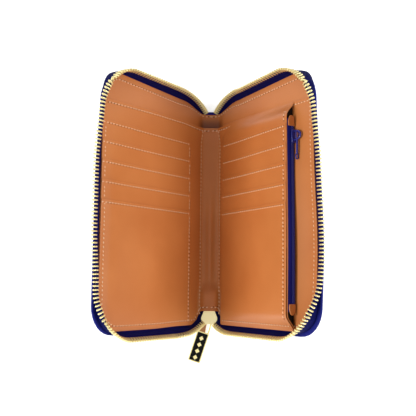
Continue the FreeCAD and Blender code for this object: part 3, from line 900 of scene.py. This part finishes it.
def chainPlan(side):
    low, high = chain["tailCorner"][side], chain["headCorner"][side]
    tailY, headY = chain["tailEnd"][side], chain["headEnd"][side]

    def far(y):
        return lining["width"] + sideLean(side, y)

    lower, upper = [], []
    for k in range(13):
        f = pi / 2 * k / 12
        y = tailY + low - low * math.cos(f)
        lower.append((far(y) - low + low * math.sin(f), y))
        y = headY - high + high * math.sin(f)
        upper.append((far(y) - high + high * math.cos(f), y))
    middle = [(far(y), y) for y in spaced(tailY + low, headY - high, 7)[1:-1]]
    along = [(x, tailY) for x in spaced(34, lower[0][0], 7)[:-1]]
    back = [(x, headLine(side, x)) for x in reversed(spaced(38, upper[-1][0], 7)[:-1])]
    return along + lower + middle + upper + back


def seamPoint(t, y):
    coreT = min(t, lining["width"] - lining["corner"])
    coreY = max(-(lining["half"] - lining["corner"]), min(y, lining["half"] - lining["corner"]))
    away = Vector((t - coreT, y - coreY))
    far = away.length
    away.normalize()
    return Vector((coreT, coreY)) + away * lining["corner"], away, far - lining["corner"]


def chainLine(side):
    # root and free edge of the tape, from the slider round the cover to the head of the spine
    roots, edges = [], []
    if side == "left":
        tailRun = [((-3.0, -75.5, -0.9), (-0.9, -86.8, 4.2)), ((0.5, -79.5, -0.9), (2.4, -88.0, 4.7)),
                   ((6.0, -85.0, -0.9), (8.0, -90.4, 5.4)), ((13.0, -89.0, -0.85), (14.5, -92.9, 6.1)),
                   ((23.0, -89.4, -0.85), (24.0, -95.2, 6.6))]
    else:
        tailRun = [((-3.0, -75.5, -0.9), (-0.7, -88.2, 4.2)), ((1.5, -80.5, -0.9), (3.2, -90.0, 4.9)),
                   ((7.0, -86.2, -0.9), (8.5, -92.0, 5.5)), ((13.0, -88.9, -0.85), (15.0, -93.7, 6.2)),
                   ((22.0, -89.0, -0.85), (23.0, -94.4, 6.8))]
    headRun = [((30.0, 89.0, -0.85), (30.0, 93.3, 7.0)), ((21.0, 88.6, -0.85), (21.5, 91.9, 6.6)),
               ((13.5, 87.0, -0.85), (13.5, 90.0, 5.6)), ((6.5, 84.9, -0.9), (6.4, 87.7, 4.2)),
               ((1.0, 83.3, -1.1), (0.6, 85.6, 2.8)), ((-3.4, 82.2, -1.3), (-4.0, 83.6, 1.2))]
    for root, edge in tailRun:
        roots.append(Vector(root))
        edges.append(Vector(edge))
    for t, y in chainPlan(side):
        drift = flare(side, t, y)
        seam, away, out = seamPoint(t, y - drift)
        up = math.sqrt(max(chain["reach"] ** 2 - out * out, 1.0))
        roots.append(Vector((seam.x + away.x * 0.5, seam.y + away.y * 0.5 + drift, -0.85)))
        edges.append(Vector((t, y, up - 0.85)))
    for root, edge in headRun:
        roots.append(Vector(root))
        edges.append(Vector(edge))
    return roots, edges


def toothWay(out):
    # along the covers' long sides the tape's free edge curls outward, flat with the cover
    flat = out.x * out.x / (out.x * out.x + out.y * out.y)
    turned = out.normalized()
    turned.z = turned.z * (1 - flat) - 0.12 * flat
    return turned.normalized()


def splinePoint(points, k, f):
    p0 = points[max(k - 1, 0)]
    p1, p2 = points[k], points[k + 1]
    p3 = points[min(k + 2, len(points) - 1)]
    return 0.5 * (2 * p1 + (p2 - p0) * f + (2 * p0 - 5 * p1 + 4 * p2 - p3) * f * f
                  + (3 * p1 - p0 - 3 * p2 + p3) * f ** 3)


def fineLine(side):
    roots, edges = chainLine(side)
    fineRoots, fineEdges = [], []
    for k in range(len(edges) - 1):
        for j in range(6):
            fineRoots.append(splinePoint(roots, k, j / 6))
            fineEdges.append(splinePoint(edges, k, j / 6))
    fineRoots.append(roots[-1])
    fineEdges.append(edges[-1])
    return fineRoots, fineEdges


def alongLine(roots, edges, step, start):
    # evenly spaced stations on the chain: place, way out of the tape, way along it
    lengths = [0.0]
    for a, b in zip(edges, edges[1:]):
        lengths.append(lengths[-1] + (b - a).length)
    stations = []
    where = start
    k = 0
    while where < lengths[-1] - 0.4:
        while lengths[k + 1] < where:
            k += 1
        f = (where - lengths[k]) / (lengths[k + 1] - lengths[k])
        edge = edges[k].lerp(edges[k + 1], f)
        root = roots[k].lerp(roots[k + 1], f)
        along = (edges[min(k + 2, len(edges) - 1)] - edges[max(k - 1, 0)]).normalized()
        out = toothWay(edge - root)
        out = (out - along * out.dot(along)).normalized()
        stations.append((edge, out, along))
        where += step
    return stations


def toothShape():
    # a tooth seen from above: two gripping legs, a waist and a round nose with its cup
    h, w = chain["height"] / 2, chain["width"] / 2
    profile = [(-chain["leg"], 0.72 * w, 0.66 * h), (-chain["leg"] + 0.45, 0.9 * w, 0.95 * h),
               (-0.2, 0.94 * w, h), (0.5, w, h), (1.2, w, 0.96 * h), (1.8, 0.92 * w, 0.84 * h),
               (2.2, 0.72 * w, 0.66 * h), (chain["head"] + 0.05, 0.4 * w, 0.4 * h)]
    verts = []
    for x, half, high in profile:
        ring = [(-half, -high * 0.55), (-half * 0.6, -high), (half * 0.6, -high), (half, -high * 0.55),
                (half, high * 0.55), (half * 0.6, high), (-half * 0.6, high), (-half, high * 0.55)]
        verts += [Vector((x, a, b)) for a, b in ring]
    return verts, ringFaces(len(profile), 8)


def zipHalf(side):
    roots, edges = fineLine(side)
    shape, shapeFaces = toothShape()
    parts = []
    for edge, out, along in alongLine(roots, edges, chain["pitch"], 0.7 if side == "left" else 1.9):
        through = out.cross(along)
        spot = [edge + out * p.x + along * p.y + through * p.z for p in shape]
        parts.append(([onCover(side, *q) for q in spot], shapeFaces))
    verts, faces = joinMeshes(parts)
    teeth = meshPiece(side + "ZipTeeth", verts, faces, gold)
    fixNormals(teeth)
    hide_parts(side + "_zip_teeth", side + "_zip_head_stop")
    verts = []
    steps = 6
    upward = Vector((0, 0, 1))
    for root, edge in zip(roots, edges):
        level = Vector((root.x, root.y, 0))
        core = Vector((min(root.x, 95.0), max(-72.5, min(root.y, 72.5)), 0))
        away = (level - core).normalized() if (level - core).length > 1e-6 else Vector((0, 1, 0))
        knee = edge - toothWay(edge - root) * (0.42 * (edge - root).length)
        inner = root - away * 6.0
        lower, upper = [], []
        for k in range(1, steps + 1):
            f = k / steps
            spot = root * (1 - f) ** 2 + knee * (2 * f * (1 - f)) + edge * f * f
            tangent = (knee - root) * (1 - f) + (edge - knee) * f
            across = (away * tangent.z - upward * tangent.dot(away)).normalized() * 0.25
            lower.append(spot + across)
            upper.append(spot - across)
        row = [inner - upward * 0.2, root - upward * 0.22] + lower + upper[::-1]
        row += [root + upward * 0.2, inner + upward * 0.2]
        verts += [onCover(side, *p) for p in row]
    tape = meshPiece(side + "ZipTape", verts, ringFaces(len(roots), len(row)), navyTapeWithPaintedShade)
    fixNormals(tape)
    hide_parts(side + "_zip_tape")
    for obj in (teeth, tape):
        rideFold(obj, side, (-3.5, 9))


zipHalf("left")
zipHalf("right")
print("main zip ready")

# main slider
slider = {"length": 15.0, "half": 6.4, "rear": -73.8, "under": 2.9, "plate": 1.0, "channel": 2.2}
rear = slider["rear"]
mouth = rear - slider["length"]
half = slider["half"]
sideLine = [(half * 0.60, rear), (half * 0.67, rear - 4.2), (half * 0.8, rear - 6.6),
            (half * 0.96, rear - 9.0), (half, rear - 10.2), (half * 0.985, rear - 11.4),
            (half * 0.9, rear - 12.8), (half * 0.74, rear - 14.1), (half * 0.52, mouth)]
outline = sideLine + [(-x, y) for x, y in reversed(sideLine)]
level = slider["under"]


def straight(x, y, z):
    return Vector((x, y, z)) * mm


upperLow = level + slider["plate"] + slider["channel"]
# the top plate and crown take the gold with painted light
topPlate = prism("sliderTopPlate", outline, (upperLow, upperLow + slider["plate"]), straight, paintedLightSliderGold)
bevelled(topPlate, 0.38, 4)
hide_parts("main_slider_body")
lowPlate = prism("sliderUnderPlate", outline, (level, level + slider["plate"]), straight, gold)
bevelled(lowPlate, 0.3, 3)
wedge = [(1.3, mouth + 2.8), (0.4, mouth + 5.6), (-0.4, mouth + 5.6),
         (-1.3, mouth + 2.8), (-0.8, mouth + 0.9), (0.8, mouth + 0.9)]
post = prism("sliderPost", wedge, (level + 0.9, upperLow + 0.1), straight, gold)
crownY = (rear - slider["length"] * 0.33, rear - slider["length"] * 0.7)
crownPath = []
for k in range(13):
    f = pi * k / 12
    mid = (crownY[0] + crownY[1]) / 2
    reachY = (crownY[0] - crownY[1]) / 2 - 0.5
    crownPath.append((0.0, mid + reachY * math.cos(f), level + 0.1 - 2.05 * math.sin(f) ** 0.55))
verts, faces = tubeMesh(crownPath, [0.5] * 13, straight, 10)
crown = meshPiece("sliderCrown", verts, faces, paintedLightSliderGold)
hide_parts("main_slider_crown")
for obj in (topPlate, lowPlate, post, crown):
    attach(obj, "main_slider")


# pull, drawn pointing down the page from its pivot and then hung on the crown
pull = {"turn": 18.0, "length": 38.8, "width": 10.0, "wall": 1.8, "neck": 14.4, "rim": 0.85, "diamonds": 4,
        "pitch": 5.2, "pivot": (0.0, -81.525, 2.125)}
dip = math.asin((pull["pivot"][2] - pull["wall"] / 2 - 0.05) / pull["length"])
hang = Matrix.Translation(Vector(pull["pivot"]) * mm) @ Matrix.Rotation(-math.radians(pull["turn"]), 4, "Z")
hang = hang @ Matrix.Rotation(dip, 4, "X")


def hung(x, y, z):
    return hang @ (Vector((x, y, z)) * mm)


def roundedBox(x0, x1, y0, y1, r, steps=5):
    out = []
    for cx, cy, start in ((x1 - r, y0 + r, -90), (x1 - r, y1 - r, 0),
                          (x0 + r, y1 - r, 90), (x0 + r, y0 + r, 180)):
        for k in range(steps + 1):
            f = math.radians(start + 90 * k / steps)
            out.append((cx + r * math.cos(f), cy + r * math.sin(f)))
    return out


halfW, wall = pull["width"] / 2, pull["wall"] / 2
outer = roundedBox(-halfW, halfW, -pull["length"], -pull["neck"], 0.7)
tabPlate = prism("pullTabPlate", outer, (-wall, wall - 0.35), hung, gold)
bevelled(tabPlate, 0.3, 3)
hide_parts("main_pull_tab")
rim = pull["rim"]
inner = roundedBox(-halfW + rim, halfW - rim, -pull["length"] + rim, -pull["neck"] - rim, 0.4)
count = len(outer)
verts = [hung(*p, z) for z in (wall - 0.4, wall) for p in outer]
verts += [hung(*p, z) for z in (wall, wall - 0.4) for p in inner]
faces = ringFaces(4, count, True)
rimPiece = meshPiece("pullTabRim", verts, faces, gold, False)
fixNormals(rimPiece)
bevelled(rimPiece, 0.12, 2)
enamel = prism("pullTabEnamel", inner, (wall - 0.4, wall - 0.12), hung, black)
bevelled(enamel, 0.08, 2)
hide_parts("main_pull_inlay")
stirrup = [(-3.45, 0.0, 0.0), (-3.6, -3, 0), (-3.9, -8, 0), (-4.1, -12, 0), (-3.9, -14.2, 0),
           (-2.6, -15.2, 0), (0, -15.4, 0), (2.6, -15.2, 0), (3.9, -14.2, 0), (4.1, -12, 0), (3.9, -8, 0),
           (3.6, -3, 0), (3.45, 0, 0), (2.6, 0.05, 0), (0, 0, 0), (-2.6, 0.05, 0)]
verts, faces = tubeMesh(stirrup, [0.7] * 13 + [0.6] * 3, hung, 10, True)
link = meshPiece("pullLink", verts, faces, gold)
lugOutline = [(-3.6, -6.6), (0.5, -7.4), (0.9, -11.0), (1.6, -14.5), (-3.8, -14.5)]
# the lug takes the gold with painted shade
lug = prism("pullLug", lugOutline, (-0.45, 0.45), hung, paintedShadeGold)
bevelled(lug, 0.2, 2)
diamondParts = []
for k in range(pull["diamonds"]):
    cy = -pull["neck"] - pull["pitch"] * (k + 1)
    diamond = [(0, cy + 2.0), (1.9, cy), (0, cy - 2.0), (-1.9, cy)]
    v = [hung(*p, wall - 0.14) for p in diamond]
    v += [hung(p[0] * 0.75, cy + (p[1] - cy) * 0.75, wall + 0.02) for p in diamond]
    f = [(j, (j + 1) % 4, (j + 1) % 4 + 4, j + 4) for j in range(4)] + [(4, 5, 6, 7)]
    diamondParts.append((v, f))
verts, faces = joinMeshes(diamondParts)
motif = meshPiece("pullDiamonds", verts, faces, gold, False)
for obj in (tabPlate, rimPiece, enamel, link, lug, motif):
    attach(obj, "main_puller")
print("slider and pull ready")


# stitching
thread = {"pitch": 2.95, "long": 1.8, "wide": 0.9, "high": 0.8, "hole": 0.4}
stitch = {"ring": 3.1, "lip": 2.4, "slotLeft": 17.5, "slotRight": 8.0, "pouch": 3.4, "edge": 2.8,
          "cover": 3.2, "coverStart": 7, "faceLift": 0.28}


def stitchShape():
    verts = [Vector((-0.5, 0, -0.2))]
    for x, r in ((-0.36, 0.75), (0, 1.0), (0.36, 0.75)):
        for k in range(6):
            f = 2 * pi * k / 6
            verts.append(Vector((x, 0.5 * r * math.cos(f), 0.5 * r * math.sin(f))))
    verts.append(Vector((0.5, 0, -0.2)))
    faces = [(0, 1 + (k + 1) % 6, 1 + k) for k in range(6)]
    for r in range(2):
        for k in range(6):
            a = 1 + r * 6
            faces.append((a + k, a + (k + 1) % 6, a + 6 + (k + 1) % 6, a + 6 + k))
    faces += [(19, 13 + k, 13 + (k + 1) % 6) for k in range(6)]
    # the needle hole after it: a flat dark disc, painted shade of the hole
    for k in range(6):
        f = 2 * pi * k / 6
        away = 0.5 * thread["pitch"] / thread["long"] + thread["hole"] / thread["long"] * math.cos(f)
        verts.append(Vector((away, thread["hole"] / thread["wide"] * math.sin(f), 0.05)))
    faces.append(tuple(range(20, 26)))
    return verts, faces


stitchVerts, stitchFaces = stitchShape()


def stitchRow(surface, path, slant=0.26):
    # thread lengths laid along a path of (t, y) points on a surface
    fine = []
    for a, b in zip(path, path[1:]):
        steps = max(1, int(math.dist(a, b) / 0.5))
        fine += [(a[0] + (b[0] - a[0]) * k / steps, a[1] + (b[1] - a[1]) * k / steps) for k in range(steps)]
    fine.append(path[-1])
    points = [surface(*p) for p in fine]
    parts = []
    travelled, due = 0.0, 1.2
    for k in range(1, len(points)):
        travelled += (points[k] - points[k - 1]).length / mm
        if travelled < due:
            continue
        due += thread["pitch"]
        along = (points[min(k + 2, len(points) - 1)] - points[max(k - 2, 0)]).normalized()
        t, y = fine[k]
        u = (surface(t + 0.4, y) - surface(t - 0.4, y)).normalized()
        v = (surface(t, y + 0.4) - surface(t, y - 0.4)).normalized()
        up = u.cross(v).normalized()
        if up.dot(Vector((-points[k].x, 0, 0.06))) < 0:
            up = -up
        across = up.cross(along).normalized()
        tilt = slant + random.uniform(-0.04, 0.04)
        lean = along * math.cos(tilt) + across * math.sin(tilt)
        flat = up.cross(lean)
        verts = [points[k] + (lean * p.x * thread["long"] + flat * p.y * thread["wide"]
                              + up * (p.z * thread["high"] + 0.02)) * mm for p in stitchVerts]
        parts.append((verts, stitchFaces))
    return parts


def coverSurface(side, level, lip=0.0, mouth=0.0):
    def surface(t, y):
        point = place(side, t, y, level * thin(t) + lip + ripple(side, t, y) + mouth * gape(t, y))
        point.z += spineRise(t, y) * mm
        return point
    return surface


def arcPath(width, half, radius, inset, start, stop):
    # the seam that follows the lining's edge, from one end of the spine round to the other
    w, h, r = width - inset, half - inset, radius - inset
    out = [(start, -h), (w - r, -h)]
    for k in range(1, 10):
        f = pi / 2 * k / 10
        out.append((w - r + r * math.sin(f), -h + r - r * math.cos(f)))
    out += [(w, -h + r), (w, h - r)]
    for k in range(1, 10):
        f = pi / 2 * k / 10
        out.append((w - r + r * math.cos(f), h - r + r * math.sin(f)))
    out += [(w - r, h), (stop, h)]
    return out


def stitchPiece(name, parts, side, bends=False):
    verts, faces = joinMeshes(parts)
    obj = meshPiece(name, verts, faces, cream)
    obj.data.materials.append(needleHolePaintedShade)
    # each stitch's last face is its needle hole's painted-shade disc
    for k, face in enumerate(obj.data.polygons):
        face.material_index = 1 if (k + 1) % len(stitchFaces) == 0 else 0
    if bends:
        rideFold(obj, side, wallet["bend"])
    else:
        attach(obj, side + "_cover")


def densify(path, step=1.5):
    out = []
    for a, b in zip(path, path[1:]):
        steps = max(1, int(math.dist(a, b) / step))
        out += [(a[0] + (b[0] - a[0]) * k / steps, a[1] + (b[1] - a[1]) * k / steps) for k in range(steps)]
    return out + [path[-1]]


for side in ("left", "right"):
    middle = -wallet["spineHalf"] + 0.4
    bare = coverSurface(side, 0.0)
    pocketFace = coverSurface(side, pocket["thick"], 0.0, 1.0)
    ringPath = arcPath(lining["width"], lining["half"], lining["corner"], stitch["ring"], middle, middle)
    shiftLining, shiftPocket = liningShift(side), pocketShift(side)
    ring = []
    for t, y in densify(ringPath):
        inward = (1.2 - 2.4 * spineBell(t, 4.0, 26.0)) * smooth((y - 72) / 13) - 0.6 * smooth((-74 - y) / 10)
        ring.append((t, y + shiftLining(t, y) - inward))
    upper = [p for p in ring if p[1] > pocket["head"] + 0.5]
    slotEdge = slots["left"] if side == "left" else math.inf
    lower = [p for p in ring if p[1] <= pocket["head"] - 0.5 and p[0] > slotEdge]
    under = [p for p in ring if p[1] <= pocket["head"] - 0.5 and p[0] <= slotEdge]
    parts = stitchRow(bare, upper)
    lipY = pocket["head"] - stitch["lip"]
    lip = densify([(middle, lipY), (lining["width"] - 3.2, lipY)])
    lipFace = coverSurface(side, pocket["thick"], 0.25, 1.0)
    parts += stitchRow(lipFace, [(t, y + shiftPocket(t, y)) for t, y in lip])
    parts += stitchRow(pocketFace, under)
    foldLine = [(1.5, y) for y in spaced(pocket["head"] - 4, -80, 4)]
    parts += stitchRow(pocketFace, foldLine)
    stitchPiece(side + "SpineStitching", parts, side, True)
    parts = []
    if side == "left":
        for k in range(slots["count"]):
            y = slotTop(k) - slots["stitch"]
            face = coverSurface(side, pocket["thick"] + slots["thick"] * (k + 1), stitch["faceLift"])
            parts += stitchRow(face, [(stitch["slotLeft"], y), (lining["width"] - 1.2, y)])
            lowY = slotTop(k + 1) + 0.6 if k < slots["count"] - 1 else -lining["half"] + 3
            slotSide = coverSurface(side, pocket["thick"] + slots["thick"] * (k + 1))
            sideT = stitch["slotLeft"] - 0.2
            parts += stitchRow(slotSide, [(sideT, y - 2), (sideT, lowY)])
        stack = coverSurface(side, pocket["thick"] + slots["thick"] * slots["count"])
        parts += stitchRow(stack, [p for p in lower if p[1] < slotTop(4) - 3])
        for k in range(slots["count"] - 1):
            rim = coverSurface(side, pocket["thick"] + slots["thick"] * (k + 1))
            edgeT = lining["width"] - stitch["edge"]
            parts += stitchRow(rim, [(edgeT, slotTop(k + 1) + 0.8), (edgeT, slotTop(k) - 3.4)])
    else:
        pouchT = pouch["edge"] - stitch["pouch"]
        for k in range(slots["count"]):
            y = slotTop(k) - slots["stitch"]

            def face(t, y, k=k):
                return place("right", t, y, pouchTop(t, y) + slots["thick"] * (k + 1) + stitch["faceLift"])

            def flatFace(t, y, k=k):
                return place("right", t, y, pouchTop(t, y) + slots["thick"] * (k + 1))
            parts += stitchRow(face, [(stitch["slotRight"], y), (pouchT, y)])
            lowY = slotTop(k + 1) + 0.6 if k < slots["count"] - 1 else -lining["half"] + 8
            parts += stitchRow(flatFace, [(pouchT, y - 1.8), (pouchT, lowY)])

        def bareFront(t, y):
            return place("right", t, y, pouchTop(t, y))

        def lowFront(t, y):
            return place("right", t, y, pouchTop(t, y) + slots["thick"] * slots["count"])
        parts += stitchRow(bareFront, [(pouchT, 66), (pouchT, 57.5)])
        parts += stitchRow(lowFront, [(stitch["slotRight"], -85.4), (pouch["edge"] - 1, -85.4)])
    stitchPiece(side + "SlotStitching", parts, side)

    shiftShell, slideShell = shellShift(side), shellSlide(side)

    def outerFace(t, y):
        return place(side, t - slideShell(t, y), y + shiftShell(t, y), -3.05)
    outside = arcPath(wallet["coverWidth"], wallet["coverHalf"], wallet["coverCorner"], stitch["cover"], 6, 6)
    outside = [(t, y) for t, y in densify(outside) if t > stitch["coverStart"] or y > 0]
    stitchPiece(side + "CoverStitching", stitchRow(outerFace, outside), side)
print("stitching ready")

# CAD pieces that are shown as they are
finish = {"main_zip_tail_tape": navyTapeWithPaintedShade, "main_zip_tail_stop": gold}
for name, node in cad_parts.items():
    node.data.materials.clear()
    node.data.materials.append(finish.get(name, greyboard))

# floor, lights and camera
floorMesh = bpy.data.meshes.new("floor")
floorMesh.from_pydata([(-3, -3, 0), (3, -3, 0), (3, 3, 0), (-3, 3, 0)], [], [(0, 1, 2, 3)])
floor = bpy.data.objects.new("floor", floorMesh)
scene.collection.objects.link(floor)
floor.location.z = -0.0003
paper, shader = blankMaterial("White sweep")
shader.inputs["Base Color"].default_value = (0.95, 0.95, 0.95, 1)
shader.inputs["Roughness"].default_value = 0.9
shader.inputs["Emission Color"].default_value = (1, 1, 1, 1)
shader.inputs["Emission Strength"].default_value = 0.5
floorMesh.materials.append(paper)

world = bpy.data.worlds.new("Soft room")
scene.world = world
world.use_nodes = True
world.node_tree.nodes["Background"].inputs["Color"].default_value = (1, 1, 1, 1)
world.node_tree.nodes["Background"].inputs["Strength"].default_value = 0.38


def softLight(name, where, target, size, power):
    data = bpy.data.lights.new(name, "AREA")
    data.shape = "SQUARE"
    data.size = size
    data.energy = power
    obj = bpy.data.objects.new(name, data)
    scene.collection.objects.link(obj)
    obj.location = where
    obj.rotation_euler = (Vector(target) - Vector(where)).to_track_quat("-Z", "Y").to_euler()


# each light: where it is, what it points at, its size and its power
lights = {
    "leftLight": ((-0.9, -0.2, 0.745), (0, 0, 0.05), 0.55, 9.5),
    "rightLight": ((0.9, -0.2, 0.745), (0, 0, 0.05), 0.55, 8.7),
    "overLight": ((0.0, -0.7, 1.0), (0, 0, 0.03), 0.5, 1.6),
}
for name, light in lights.items():
    softLight(name, *light)

view = {"lens": 57.43, "turn": (6.60, -0.37, 0.54), "where": (-0.0052, -0.0576, 0.5404)}
cameraData = bpy.data.cameras.new("camera")
camera = bpy.data.objects.new("camera", cameraData)
scene.collection.objects.link(camera)
scene.camera = camera
cameraData.sensor_width = 36
cameraData.lens = view["lens"]
cameraData.clip_start = 0.01
pitch, yaw, roll = (math.radians(a) for a in view["turn"])
spin = Matrix.Rotation(yaw, 4, "Y") @ Matrix.Rotation(pitch, 4, "X") @ Matrix.Rotation(roll, 4, "Z")
camera.matrix_world = Matrix.Translation(view["where"]) @ spin
scene.view_settings.view_transform = "Standard"
print("stage ready")
